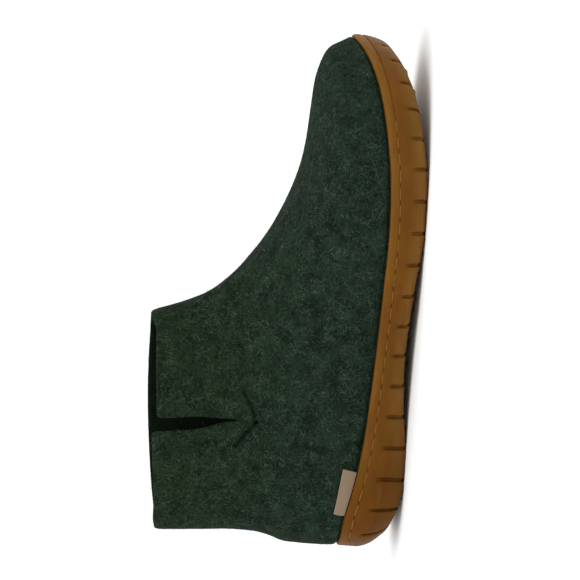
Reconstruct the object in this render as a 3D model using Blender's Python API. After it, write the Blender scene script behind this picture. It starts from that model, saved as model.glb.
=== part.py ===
"""Right felt boot: a hollow felt upper in a moulded rubber cup sole, with a felt insole and a bare tab.

The sizes and tables are in millimetres. A station is measured from the back of the heel towards the toe
(+X), a side position from the heel's middle line (the inner side is +Y, the outer side is -Y) and a height
from the floor.
"""
import math
from bisect import bisect_right
from collections import namedtuple

import bmesh
import bpy
from mathutils import Vector

MM = 0.001
OUTER = -1
INNER = 1

# Overall plan
LENGTH = 290.0
HEEL_ROUND = 34.0
TOE_ROUND = 85.0

# Felt, insole and the gaps between the pieces
FELT = 4.0
INSOLE = 4.0
CUP_WALL = 2.6
GAP = 0.4
FLOOR_GAP = 0.3

# Side of the sole
RIM_ROUND = 0.8
CHANNEL_DROP = 5.0
CHANNEL_HALF = 0.8
CHANNEL_DEPTH = 0.7
LUGS_A_SIDE = 20
GROOVE_LIP = 1.3
GROOVE_BED = 0.65
LUG_PROUD = 0.4
GROOVE_DEPTH = 2.3
GROOVE_RISE = 3.4
LUG_EDGE = 1.3
LUG_EDGE_RISE = 1.2
LUG_FOOT = 3.2
LUG_REACH = 26.0
LUG_BEND = 0.45
BELLY = 0.45
TUCK_REACH = 16.0
TUCK = 1.5

# Upper
COLUMNS_A_SIDE = 36
ARCH_TOP = 2.2
ARCH_SIDE = 2.0
COLLAR_OVAL = 2.3
BLEND_LOW = 45.0
BLEND_HIGH = 105.0
INNER_RISE = 3.0
REAR_DROP = 1.0
REAR_START = 8.0
REAR_FULL = 25.0
FLAP_DROP = 4.0
FLAP_START = 61.0
FLAP_FULL = 67.0
FLAP_FADE = 116.0
FLAP_END = 126.0
SLIT_FLARE = 3.0
SLIT_SPREAD = 22.0
SLIT_SHARE = 0.44
SLIT_FOLLOW = 40.0
BULGE_INSET = 0.6
BULGE_RISE = 9.0
BULGE_RISE_TOE = 7.0
BULGE_FADE = 240.0
FRONT_AT_BULGE = 286.2
RIDGE_CLIMB = 8.0
RIM_SHARE = 0.9
RIM_FADE = 0.1

# Tab
TAB_START = 19.5
TAB_END = 44.1
TAB_TOP_START = 38.0
TAB_TOP_END = 34.4
TAB_LEAN = 1.5
TAB_THICK = 1.2
TAB_FOOT = 0.5
TAB_COLUMNS = 9
TAB_ROWS = 4

# A row for each station of the sole: plan, underside, cup floor, rim, lug height and the taper of its side
Sole = namedtuple("Sole", "station half_width centre ground floor rim lug taper")
SOLE = (
    Sole(0, 34.0, 0.0, 8.6, 17.0, 32.5, 12.5, 4.0),
    Sole(15, 34.0, 0.2, 4.4, 14.4, 31.9, 12.5, 3.2),
    Sole(28, 34.0, 0.8, 1.4, 13.0, 29.6, 12.5, 1.6),
    Sole(40, 34.4, 2.2, 0.0, 13.0, 26.9, 12.0, 0.5),
    Sole(57, 35.2, 3.4, 0.0, 13.0, 24.1, 10.0, 0.0),
    Sole(75, 36.2, 3.2, 2.0, 13.2, 22.4, 7.5, 0.0),
    Sole(110, 40.8, 0.4, 4.3, 13.0, 20.7, 5.2, 0.0),
    Sole(145, 48.6, -4.2, 3.0, 11.5, 20.2, 4.6, 0.0),
    Sole(174, 52.8, -4.6, 0.0, 9.5, 19.4, 4.4, 0.0),
    Sole(203, 54.5, -3.2, 0.0, 9.0, 20.4, 4.2, 0.0),
    Sole(225, 54.5, -1.2, 2.6, 10.8, 22.8, 4.2, 0.5),
    Sole(250, 54.5, 0.9, 7.0, 15.2, 26.9, 4.4, 1.3),
    Sole(272, 54.5, 3.0, 13.6, 22.4, 33.0, 4.8, 2.5),
    Sole(290, 54.5, 8.0, 20.0, 30.0, 41.0, 5.0, 3.8),
)

# A row for each ring of felt above the bulge: where it meets the front line and the back line of the boot
Ring = namedtuple("Ring", "front front_height back back_height")
RINGS = (
    Ring(282.6, 52.2, 0.0, 44.2),
    Ring(277.6, 56.3, 0.0, 48.0),
    Ring(265.0, 60.5, 0.2, 53.3),
    Ring(247.0, 62.3, 0.5, 59.0),
    Ring(230.0, 63.7, 1.0, 64.5),
    Ring(214.0, 66.4, 3.0, 70.0),
    Ring(199.0, 71.0, 4.3, 75.5),
    Ring(185.0, 76.9, 5.2, 81.0),
    Ring(172.0, 83.8, 5.4, 86.5),
    Ring(160.0, 92.0, 5.4, 92.0),
    Ring(150.0, 100.3, 5.1, 98.0),
    Ring(142.3, 108.5, 4.7, 104.0),
    Ring(137.0, 116.3, 4.3, 110.0),
    Ring(133.3, 124.6, 4.0, 116.0),
    Ring(130.3, 132.3, 3.7, 122.0),
    Ring(128.0, 139.6, 3.4, 128.5),
    Ring(125.6, 146.0, 3.2, 136.0),
)
SLIT_TIP_RING = 9

FRONT_LINE = RINGS[::-1] + (Ring(FRONT_AT_BULGE, 47.9, 0.0, 41.5),)

# A row for each level of the shaft
Shaft = namedtuple("Shaft", "height half_width centre")
SHAFT = (
    Shaft(45, 34.0, 3.0),
    Shaft(70, 31.5, 4.0),
    Shaft(96, 30.0, 4.0),
    Shaft(120, 32.2, 1.8),
    Shaft(146, 35.6, -0.6),
)

# A row for each level of the slit: its rear and front edge
Slit = namedtuple("Slit", "height rear front")
SLIT = (
    Slit(93.0, 68.4, 68.4),
    Slit(99.5, 66.4, 69.5),
    Slit(111.4, 63.2, 69.4),
    Slit(124.0, 61.8, 68.6),
    Slit(142.0, 60.0, 67.6),
)

# A row for each ring of the felt's foot, inside the rim and bulging over it: height over the rim, and inset
# from the sole's outline along the sides, at the toe and at the heel
Foot = namedtuple("Foot", "over inset toe_inset heel_inset")
FELT_FOOT = (
    Foot(0.2, CUP_WALL + GAP, CUP_WALL + GAP, CUP_WALL + GAP),
    Foot(1.4, 2.0, 1.7, 1.1),
    Foot(4.0, 1.0, 3.2, 0.2),
)
TOE_FROM = 255.0
HEEL_TO = 26.0

# The felt's side behind the tab: height over the rim and inset from the sole's outline
Backing = namedtuple("Backing", "over inset")
TAB_BACKING = (
    Backing(TAB_FOOT, 2.5),
    Backing(2.2, 1.5),
    Backing(4.0, 0.9),
    Backing(9.4, BULGE_INSET),
)


def smooth(rows, key, column, value):
    """Read a table column at a value with a cubic that keeps level stretches level and never overshoots."""
    xs = [getattr(row, key) for row in rows]
    ys = [getattr(row, column) for row in rows]
    if value <= xs[0]:
        return ys[0]
    if value >= xs[-1]:
        return ys[-1]
    slopes = [(ys[i + 1] - ys[i]) / (xs[i + 1] - xs[i]) for i in range(len(xs) - 1)]

    def tangent(i):
        if i == 0 or i == len(xs) - 1:
            return slopes[0] if i == 0 else slopes[-1]
        before, after = slopes[i - 1], slopes[i]
        return 0.0 if before * after <= 0.0 else 2.0 * before * after / (before + after)

    i = bisect_right(xs, value) - 1
    step = xs[i + 1] - xs[i]
    t = (value - xs[i]) / step
    start = (1.0 + 2.0 * t) * (1.0 - t) ** 2 * ys[i] + t * (1.0 - t) ** 2 * step * tangent(i)
    end = t * t * (3.0 - 2.0 * t) * ys[i + 1] + t * t * (t - 1.0) * step * tangent(i + 1)
    return start + end


def sole_at(column, station):
    return smooth(SOLE, "station", column, station)


def ease(value, low, high):
    t = min(1.0, max(0.0, (value - low) / (high - low)))
    return t * t * (3.0 - 2.0 * t)


def half_width(station):
    """Half the sole's width: the table, closed by a round heel and an elliptic toe."""
    station = min(LENGTH, max(0.0, station))
    cap = 1.0
    if station < HEEL_ROUND:
        cap = math.sqrt(max(0.0, 1.0 - ((HEEL_ROUND - station) / HEEL_ROUND) ** 2))
    if station > LENGTH - TOE_ROUND:
        cap = math.sqrt(max(0.0, 1.0 - ((station - LENGTH + TOE_ROUND) / TOE_ROUND) ** 2))
    return sole_at("half_width", station) * cap


class Outline:
    """One side of the sole's plan outline, from the back of the heel to the toe, read by its arc length."""

    def __init__(self, side, steps=1200):
        self.points = []
        self.arcs = [0.0]
        for i in range(steps + 1):
            station = 0.5 * LENGTH * (1.0 - math.cos(math.pi * i / steps))
            self.points.append(Vector((station, sole_at("centre", station) + side * half_width(station))))
        for a, b in zip(self.points, self.points[1:]):
            self.arcs.append(self.arcs[-1] + (b - a).length)
        self.side = side
        self.arc = self.arcs[-1]

    def place(self, arc):
        """The point at an arc length and the direction out of the outline there."""
        if arc <= 0.0:
            return self.points[0], Vector((-1.0, 0.0))
        if arc >= self.arc:
            return self.points[-1], Vector((1.0, 0.0))
        i = min(len(self.points) - 2, bisect_right(self.arcs, arc) - 1)
        a, b = self.points[i], self.points[i + 1]
        along = (b - a).normalized()
        point = a.lerp(b, (arc - self.arcs[i]) / (self.arcs[i + 1] - self.arcs[i]))
        return point, Vector((-along.y, along.x)) * self.side

    def arc_at(self, station):
        i = bisect_right([p.x for p in self.points], station) - 1
        a, b = self.points[i], self.points[i + 1]
        return self.arcs[i] + (self.arcs[i + 1] - self.arcs[i]) * (station - a.x) / (b.x - a.x)


OUTLINES = {side: Outline(side) for side in (OUTER, INNER)}


def inset_point(place, inset, height):
    """A point moved in from the outline; the height may be a function of the point's own station."""
    point, out = place
    moved = point - out * inset
    return Vector((moved.x, moved.y, height(moved.x) if callable(height) else height))


def clear_scene():
    for thing in list(bpy.data.objects):
        bpy.data.objects.remove(thing, do_unlink=True)


def material(name, colour, roughness):
    made = bpy.data.materials.new(name)
    made.use_nodes = True
    shader = made.node_tree.nodes["Principled BSDF"]
    shader.inputs["Base Color"].default_value = (*colour, 1.0)
    shader.inputs["Roughness"].default_value = roughness
    shader.inputs["Metallic"].default_value = 0.0
    return made


def solid(name, points, faces, surface, parent):
    """A named object in metres from millimetre points, with its faces turned out."""
    mesh = bpy.data.meshes.new(name)
    mesh.from_pydata([tuple(p * MM) for p in points], [], faces)
    work = bmesh.new()
    work.from_mesh(mesh)
    bmesh.ops.recalc_face_normals(work, faces=work.faces)
    work.to_mesh(mesh)
    work.free()
    mesh.materials.append(surface)
    made = bpy.data.objects.new(name, mesh)
    made.parent = parent
    bpy.context.scene.collection.objects.link(made)
    return made


def wall_faces(rows, around):
    """Quads between neighbouring closed rings of points."""
    faces = []
    for row in range(rows - 1):
        for i in range(around):
            j = (i + 1) % around
            low, high = row * around, (row + 1) * around
            faces.append((low + i, low + j, high + j, high + i))
    return faces


def cover_faces(start, half):
    """Faces across a ring that runs from the heel's middle along the outer side to the toe and back."""
    end = start + 2 * half
    faces = [(start, start + 1, end - 1), (start + half - 1, start + half, start + half + 1)]
    faces += [(start + k, start + k + 1, end - k - 1, end - k) for k in range(1, half - 1)]
    return faces


def sole_columns():
    """The sole's columns round the outline, each with whether it lies in a groove between two lugs."""
    columns = []
    for side in (OUTER, INNER):
        outline = OUTLINES[side]
        pitch = outline.arc / LUGS_A_SIDE
        run = []
        for lug in range(LUGS_A_SIDE):
            middle = (lug + 0.5) * pitch
            run.append((lug * pitch, False))
            run.append((middle - GROOVE_LIP, False))
            run.append((middle - GROOVE_BED, True))
            run.append((middle + GROOVE_BED, True))
            run.append((middle + GROOVE_LIP, False))
        run.append((outline.arc, False))
        made = [(outline.place(arc), groove) for arc, groove in run]
        columns += made if side == OUTER else made[-2:0:-1]
    return columns


def tuck(taper, height):
    """How far the sole's side is tucked in at a height over the ground."""
    return TUCK * taper * max(0.0, 1.0 - height / TUCK_REACH) ** 2


def build_outsole(surface, parent):
    """The cup sole as rows of points round the outline: up the cup's inside, over the rim, down the lugs."""
    columns = sole_columns()

    def ground(station):
        return sole_at("ground", station)

    def floor(station):
        return sole_at("floor", station)

    sections = []
    for place, groove in columns:
        station = place[0].x
        rim = sole_at("rim", station)
        low = ground(station)
        lug = sole_at("lug", station)
        taper = sole_at("taper", station)
        cut = GROOVE_DEPTH if groove else 0.0
        channel = rim - CHANNEL_DROP
        belly = lug + BELLY * (channel - CHANNEL_HALF - low - lug)
        section = (
            (CUP_WALL, floor),
            (CUP_WALL, rim),
            (RIM_ROUND, rim),
            (0.0, rim - RIM_ROUND),
            (0.0, channel + CHANNEL_HALF),
            (CHANNEL_DEPTH, channel),
            (0.0, channel - CHANNEL_HALF),
            (tuck(taper, belly), low + belly),
            (tuck(taper, lug) - LUG_PROUD + cut, low + lug),
            (tuck(taper, LUG_BEND * lug) + cut, low + LUG_BEND * lug),
            (tuck(taper, LUG_EDGE_RISE) + LUG_EDGE + cut, low + LUG_EDGE_RISE),
            (tuck(taper, 0.0) + LUG_FOOT, lambda x: ground(x) + (GROOVE_RISE if groove else 0.0)),
            (LUG_REACH, ground),
        )
        sections.append([inset_point(place, inset, height) for inset, height in section])
    rows = list(zip(*sections))
    around = len(columns)
    faces = wall_faces(len(rows), around)
    faces += cover_faces(0, around // 2)
    faces += cover_faces((len(rows) - 1) * around, around // 2)
    return solid("outsole", [p for row in rows for p in row], faces, surface, parent)


def over_floor(station):
    """Just clear of the cup's floor."""
    return sole_at("floor", station) + FLOOR_GAP


def felt_places():
    """The felt's columns round the outline: from the heel along the outer side to the toe and back."""
    places = []
    for side in (OUTER, INNER):
        outline = OUTLINES[side]
        arcs = [outline.arc * k / COLUMNS_A_SIDE for k in range(COLUMNS_A_SIDE + 1)]
        run = [(side, outline.place(arc)) for arc in arcs]
        places += run if side == OUTER else run[-2:0:-1]
    return places


def ridge(station):
    """The height of the boot's front line at a station; behind the collar it rises out of the way."""
    collar = FRONT_LINE[0]
    if station <= collar.front:
        return collar.front_height + RIDGE_CLIMB * (collar.front - station)
    return smooth(FRONT_LINE, "front", "front_height", station)


def bulge_height(station):
    rise = BULGE_RISE + (BULGE_RISE_TOE - BULGE_RISE) * ease(station, BULGE_FADE, LENGTH)
    return sole_at("rim", station) + rise


def felt_point(side, station, height, back, front):
    """A point of the felt's outer face: an arched foot section that turns into the oval of the shaft."""
    spring = bulge_height(station)
    span = max(0.5, ridge(station) - spring)
    rise = min(1.0, max(0.0, (height - spring) / span))
    arch = max(0.0, 1.0 - rise ** ARCH_TOP) ** (1.0 / ARCH_SIDE)
    plan = (station - back) * LENGTH / (FRONT_AT_BULGE - back)
    foot = max(0.0, half_width(plan) - BULGE_INSET) * arch
    place = (station - back) / (front - back)
    oval = max(0.0, 1.0 - abs(2.0 * place - 1.0) ** COLLAR_OVAL) ** (1.0 / COLLAR_OVAL)
    shaft = smooth(SHAFT, "height", "half_width", height) * oval
    share = ease(height, BLEND_LOW, BLEND_HIGH)
    middle = sole_at("centre", plan) * (1.0 - share) + smooth(SHAFT, "height", "centre", height) * share
    width = foot * (1.0 - share) + shaft * share
    if side == OUTER:
        flare = ease(height, SLIT[0].height, SLIT[-1].height) * SLIT_FLARE
        width += flare * math.exp(-((station - SLIT[-1].rear) / SLIT_SPREAD) ** 2)
    return Vector((station, middle + side * width, height))


def ring_height(ring, order, side, station):
    """The height along a ring: straight between its ends, with a fading share of the rim's own curve.

    Towards the collar the outer side dips, most in front of the slit, and the inner side rises.
    """
    t = (station - ring.back) / (ring.front - ring.back)
    height = ring.back_height + (ring.front_height - ring.back_height) * t
    straight = sole_at("rim", ring.back) * (1.0 - t) + sole_at("rim", ring.front) * t
    height += max(0.0, RIM_SHARE - RIM_FADE * order) * (sole_at("rim", station) - straight)
    if side == OUTER:
        drop = REAR_DROP + (FLAP_DROP - REAR_DROP) * ease(station, FLAP_START, FLAP_FULL)
        drop *= ease(station, REAR_START, REAR_FULL) * (1.0 - ease(station, FLAP_FADE, FLAP_END))
        height -= drop * (order / (len(RINGS) - 1)) ** 3
    if side == INNER:
        height += INNER_RISE * (order / (len(RINGS) - 1)) ** 3 * math.sin(math.pi * t)
    return height


def slit_station(edge, height, plain):
    """Where the slit's line runs; below its tip it eases back to the plain column."""
    tip = SLIT[0]
    if height >= tip.height:
        return smooth(SLIT, "height", edge, height)
    return plain + (tip.rear - plain) * ease(height, SLIT_FOLLOW, tip.height)


def felt_sheet():
    """The felt's outer face as rings of points and quads, with the slit left open above its tip."""
    places = felt_places()
    around = len(places)
    shares = [place[0].x / LENGTH for _, place in places]
    slit_column = min(range(COLUMNS_A_SIDE), key=lambda k: abs(shares[k] - SLIT_SHARE))
    slit_share = shares[slit_column]
    rings = [[inset_point(place, CUP_WALL + GAP, over_floor) for _, place in places]]
    for foot in FELT_FOOT:
        run = []
        for _, place in places:
            station = place[0].x
            inset = foot.inset + (foot.toe_inset - foot.inset) * ease(station, TOE_FROM, LENGTH)
            inset += (foot.heel_inset - foot.inset) * (1.0 - ease(station, 0.0, HEEL_TO))
            run.append(inset_point(place, inset, sole_at("rim", station) + foot.over))
        rings.append(run)
    bulge = []
    for side, place in places:
        station = place[0].x * FRONT_AT_BULGE / LENGTH
        bulge.append(felt_point(side, station, bulge_height(station), 0.0, FRONT_AT_BULGE))
    rings.append(bulge)
    doubles = []
    for order, ring in enumerate(RINGS):
        run = []
        for k, (side, _) in enumerate(places):
            stations = [ring.back + (ring.front - ring.back) * shares[k]]
            if side == OUTER and 0 < k < COLUMNS_A_SIDE:
                level = ring_height(ring, order, side, stations[0])
                plain = ring.back + (ring.front - ring.back) * slit_share
                rear = slit_station("rear", level, plain)
                front = slit_station("front", level, plain)
                lower = ring.back + (rear - ring.back) * shares[k] / slit_share
                upper = front + (ring.front - front) * (shares[k] - slit_share) / (1.0 - slit_share)
                stations = [lower] if k < slit_column else [upper]
                if k == slit_column:
                    stations = [front, rear]
            made = []
            for station in stations:
                height = ring_height(ring, order, side, station)
                made.append(felt_point(side, station, height, ring.back, ring.front))
            run.append(made[0])
            if len(made) == 2 and order > SLIT_TIP_RING:
                doubles.append((order, made[1]))
        rings.append(run)
    points = [p for ring in rings for p in ring]
    faces = wall_faces(len(rings), around)
    first = len(rings) - len(RINGS)
    rear_of = {}
    for i, (order, _) in enumerate(doubles):
        rear_of[(first + order) * around + slit_column] = len(points) + i
    points += [p for _, p in doubles]
    rear_column = slit_column - 1
    for i, face in enumerate(faces):
        if i % around == rear_column:
            faces[i] = tuple(rear_of.get(v, v) for v in face)
    return points, faces


def build_upper(surface, parent):
    """The felt sheet thickened inward to one shell, open at the collar, the slit and underneath."""
    points, faces = felt_sheet()
    upper = solid("upper", points, faces, surface, parent)
    wall = upper.modifiers.new("felt wall", "SOLIDIFY")
    wall.thickness = FELT * MM
    wall.offset = -1.0
    wall.use_rim = True
    return upper


def build_insole(surface, parent):
    """A felt sheet on the cup floor, just inside the upper's foot."""
    places = [place for _, place in felt_places()]
    inset = CUP_WALL + GAP + FELT + GAP
    under = [inset_point(place, inset, over_floor) for place in places]
    over = [p + Vector((0.0, 0.0, INSOLE)) for p in under]
    around = len(places)
    faces = wall_faces(2, around) + cover_faces(0, COLUMNS_A_SIDE) + cover_faces(around, COLUMNS_A_SIDE)
    return solid("insole", under + over, faces, surface, parent)


def backing_inset(over):
    """How far in the felt lies behind the tab, at a height over the rim."""
    for low, high in zip(TAB_BACKING, TAB_BACKING[1:]):
        if over <= high.over:
            return low.inset + (high.inset - low.inset) * (over - low.over) / (high.over - low.over)
    return TAB_BACKING[-1].inset


def build_tab(surface, parent):
    """The small bare label that stands out of the seam between rim and felt at the outer heel."""
    outline = OUTLINES[OUTER]
    start, end = outline.arc_at(TAB_START), outline.arc_at(TAB_END)
    layers = []
    for lift in (GAP, GAP + TAB_THICK):
        for i in range(TAB_COLUMNS):
            t = i / (TAB_COLUMNS - 1)
            for j in range(TAB_ROWS):
                share = j / (TAB_ROWS - 1)
                place = outline.place(start + (end - start) * t + TAB_LEAN * share)
                rim = sole_at("rim", place[0].x)
                top = TAB_TOP_START + (TAB_TOP_END - TAB_TOP_START) * t - rim
                over = TAB_FOOT + (top - TAB_FOOT) * share
                layers.append(inset_point(place, backing_inset(over) - lift, rim + over))
    count = TAB_COLUMNS * TAB_ROWS
    faces = []
    for i in range(TAB_COLUMNS - 1):
        for j in range(TAB_ROWS - 1):
            corner = i * TAB_ROWS + j
            quad = (corner, corner + TAB_ROWS, corner + TAB_ROWS + 1, corner + 1)
            faces.append(quad)
            faces.append(tuple(count + v for v in quad[::-1]))
    edge = [i * TAB_ROWS for i in range(TAB_COLUMNS)]
    edge += [(TAB_COLUMNS - 1) * TAB_ROWS + j for j in range(1, TAB_ROWS)]
    edge += [i * TAB_ROWS + TAB_ROWS - 1 for i in range(TAB_COLUMNS - 2, -1, -1)]
    edge += [j for j in range(TAB_ROWS - 2, 0, -1)]
    for a, b in zip(edge, edge[1:] + edge[:1]):
        faces.append((a, b, count + b, count + a))
    return solid("tab", layers, faces, surface, parent)


def centre_on_floor(parent, pieces):
    """Set the parent so that the boot stands on the floor with its box centred on the origin."""
    bpy.context.view_layer.update()
    corners = [piece.matrix_world @ Vector(corner) for piece in pieces for corner in piece.bound_box]
    low = [min(c[axis] for c in corners) for axis in range(3)]
    high = [max(c[axis] for c in corners) for axis in range(3)]
    parent.location = (-0.5 * (low[0] + high[0]), -0.5 * (low[1] + high[1]), -low[2])


def main():
    clear_scene()
    boot = bpy.data.objects.new("boot", None)
    bpy.context.scene.collection.objects.link(boot)
    felt = material("green wool felt", (0.018, 0.030, 0.021), 0.95)
    rubber = material("honey rubber", (0.195, 0.087, 0.024), 0.55)
    lining = material("felt insole", (0.022, 0.034, 0.025), 0.95)
    leather = material("tan label leather", (0.254, 0.181, 0.120), 0.7)
    pieces = [
        build_outsole(rubber, boot),
        build_upper(felt, boot),
        build_insole(lining, boot),
        build_tab(leather, boot),
    ]
    centre_on_floor(boot, pieces)


main()
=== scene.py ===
"""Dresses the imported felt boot: felt upper, rubber cup sole, channel stitches, insole, tab and studio."""

import math
from bisect import bisect_right
from collections import namedtuple

import bpy
import numpy as np
from mathutils import Matrix, Vector
from mathutils.bvhtree import BVHTree


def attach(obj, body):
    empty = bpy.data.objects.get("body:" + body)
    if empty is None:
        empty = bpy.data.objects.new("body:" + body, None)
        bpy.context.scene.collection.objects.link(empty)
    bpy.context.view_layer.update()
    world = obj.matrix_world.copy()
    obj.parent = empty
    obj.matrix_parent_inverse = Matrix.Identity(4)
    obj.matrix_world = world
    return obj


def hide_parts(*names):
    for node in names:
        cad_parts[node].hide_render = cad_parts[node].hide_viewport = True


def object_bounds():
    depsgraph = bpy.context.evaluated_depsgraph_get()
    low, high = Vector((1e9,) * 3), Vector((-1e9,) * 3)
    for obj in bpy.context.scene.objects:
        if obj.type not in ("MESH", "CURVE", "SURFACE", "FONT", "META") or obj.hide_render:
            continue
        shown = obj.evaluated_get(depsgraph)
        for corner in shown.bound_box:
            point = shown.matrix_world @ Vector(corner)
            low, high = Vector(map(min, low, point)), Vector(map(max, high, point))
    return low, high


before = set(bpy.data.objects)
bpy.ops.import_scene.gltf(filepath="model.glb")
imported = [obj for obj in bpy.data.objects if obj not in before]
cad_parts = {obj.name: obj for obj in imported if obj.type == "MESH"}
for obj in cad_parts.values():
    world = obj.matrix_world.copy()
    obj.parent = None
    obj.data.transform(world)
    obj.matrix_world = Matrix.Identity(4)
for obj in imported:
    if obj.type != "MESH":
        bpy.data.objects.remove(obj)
CAD_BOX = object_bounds()

bl_info = {
    "name": "Felt boot",
    "version": (1, 0, 0),
    "blender": (4, 5, 0),
    "location": "3D View > Sidebar > Felt boot",
    "description": "Dresses the packed felt boot with felt, rubber, stitches and a studio",
    "category": "Object",
}

MM = 0.001
SEED = 11

# Where the sole's table sits in the frame: the back of the heel and the heel's middle line, in millimetres
HEEL_BACK = -144.94
MIDDLE_LINE = 3.18
LENGTH = 290.0
HEEL_ROUND = 34.0
TOE_ROUND = 85.0
OUTER = -1
INNER = 1

# The sole's plan, underside, rim and lug height for each station from the heel, in millimetres
Sole = namedtuple("Sole", "station half_width centre ground rim lug")
SOLE = (
    Sole(0, 34.0, 0.0, 8.6, 32.5, 12.5),
    Sole(15, 34.0, 0.2, 4.4, 31.9, 12.5),
    Sole(28, 34.0, 0.8, 1.4, 29.6, 12.5),
    Sole(40, 34.4, 2.2, 0.0, 26.9, 12.0),
    Sole(57, 35.2, 3.4, 0.0, 24.1, 10.0),
    Sole(75, 36.2, 3.2, 2.0, 22.4, 7.5),
    Sole(110, 40.8, 0.4, 4.3, 20.7, 5.2),
    Sole(145, 48.6, -4.2, 3.0, 20.2, 4.6),
    Sole(174, 52.8, -4.6, 0.0, 19.4, 4.4),
    Sole(203, 54.5, -3.2, 0.0, 20.4, 4.2),
    Sole(225, 54.5, -1.2, 2.6, 22.8, 4.2),
    Sole(250, 54.5, 0.9, 7.0, 26.9, 4.4),
    Sole(272, 54.5, 3.0, 13.6, 33.0, 4.8),
    Sole(290, 54.5, 8.0, 20.0, 41.0, 5.0),
)

# The stitch channel: how far it lies under the rim, how deep it is and the station where its stitches end
CHANNEL_DROP = 5.0
CHANNEL_DEPTH = 0.7
STITCHES_END = 240.0

# Creases of the outer side: (station, height) points, depth, half width and ridge height, in millimetres
Crease = namedtuple("Crease", "points depth half_width ridge")
CREASES = (
    Crease(((54.2, 94.0), (61.0, 89.0), (67.9, 83.0)), 1.5, 0.9, 0.8),
    Crease(((67.9, 83.0), (75.0, 85.5), (84.0, 91.0)), 1.2, 0.9, 0.7),
    Crease(((68.3, 91.0), (68.1, 87.0), (67.9, 83.0)), 0.5, 1.0, 0.3),
)

# A line through the middle of the boot's hollow, in metres, that tells the felt's outside from its inside
HOLLOW = np.array(
    (
        (0.105, 0.004, 0.036),
        (0.050, 0.000, 0.036),
        (0.000, 0.000, 0.040),
        (-0.040, 0.004, 0.048),
        (-0.078, 0.006, 0.060),
        (-0.080, 0.006, 0.100),
        (-0.080, 0.004, 0.150),
    )
)

# The outer side of the felt: how far across it starts, in millimetres, and how far its normals turn out
OUTER_FROM = -5.0
OUTER_TURN = -0.2

# How far round a crease the felt is refined, in millimetres, and how many half widths away its ridges lie
CREASE_REACH = 9.0
RIDGE_AWAY = 2.2

# Rounding: up to which height the felt holds to its solid and how far points are pushed, in millimetres
FELT_HELD_TO = 110.0
FELT_REACH = 2.0
RUBBER_REACH = 0.6

# Angles in degrees from which an edge is held in subdivision, or rounded by a bevel
SHARP = 50.0
BEVELLED = 40.0

# Where fibres lie, in millimetres: over the rim, and above a height inside, where only a share grows
FIBRES_OVER_RIM = 1.5
COLLAR_INSIDE = 90.0
INSIDE_SHARE = 0.02

# Lying fibres: spread of turns in radians, ranges of length and width as shares, of lift in millimetres,
# and the width left at a tip
FIBRE_CURL = 0.16
FIBRE_WANDER = 0.2
FIBRE_LENGTHS = (0.45, 1.6)
FIBRE_WIDTHS = (0.6, 1.3)
FIBRE_LIFTS = (0.03, 0.16)
FIBRE_TIP = 0.35

# Raised hairs: half width in millimetres, ranges of length and lean, and the reach up and aside of
# their middle and tip
HAIR_HALF = 0.04
HAIR_LENGTHS = (0.4, 1.7)
HAIR_LEANS = (0.5, 1.4)
HAIR_MIDDLE = (0.40, 0.35)
HAIR_TIP = (0.55, 0.85)

# A stitch, in shares of its length: its cuts, its straight half and the bend at its ends. In shares of its
# thickness: how much the ends thin and dip, and how high its middle lies in the channel
STITCH_CUTS = (-0.36, -0.18, 0.0, 0.18, 0.36)
STITCH_STRAIGHT = 0.30
STITCH_BEND = 0.20
STITCH_THIN = 0.45
STITCH_DIP = 0.7
STITCH_SEAT = 0.42

# How far a needle hole's oval lies above the bottom of the channel, in millimetres
HOLE_LIFT = 0.25

# How sharply the tab's paler cut edge sets in as its surface turns away from the face
CUT_GAIN = 1.6
CUT_FROM = 0.9

# Where the heel's warm colour and its darker lugs start and are full, along the boot in metres
HEEL_WARM = (-0.055, -0.125)
HEEL_DARK = (-0.075, -0.100)

# The studio in metres: the floor's width, and where the top light hangs, looks and how wide it is
FLOOR_SIZE = 12.0
LIGHT_AT = (-0.15, -0.2, 2.2)
LIGHT_AIM = (0.0, 0.0, 0.05)
LIGHT_SIZE = 3.0

# The camera in metres: where it stands, where it looks and which way its top points
EYE = (-0.01465, -0.99682, 0.12431)
AIM = (-0.00296, 0.00322, 0.0677)
UP = (0.998, 0.0, 0.0624)


def linear(hex_colour):
    """An sRGB hex colour as linear red, green and blue."""
    shares = [int(hex_colour[i:i + 2], 16) / 255.0 for i in (1, 3, 5)]
    return tuple(s / 12.92 if s <= 0.04045 else ((s + 0.055) / 1.055) ** 2.4 for s in shares)


def colour_setting(name, description, hex_colour):
    return bpy.props.FloatVectorProperty(
        name=name,
        description=description,
        subtype="COLOR",
        size=3,
        min=0.0,
        max=1.0,
        default=linear(hex_colour),
    )


def length_setting(name, description, millimetres):
    return bpy.props.FloatProperty(
        name=name, description=description, unit="LENGTH", min=0.0, precision=5, default=millimetres * MM
    )


def count_setting(name, description, count):
    return bpy.props.IntProperty(name=name, description=description, default=count, min=0)


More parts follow.
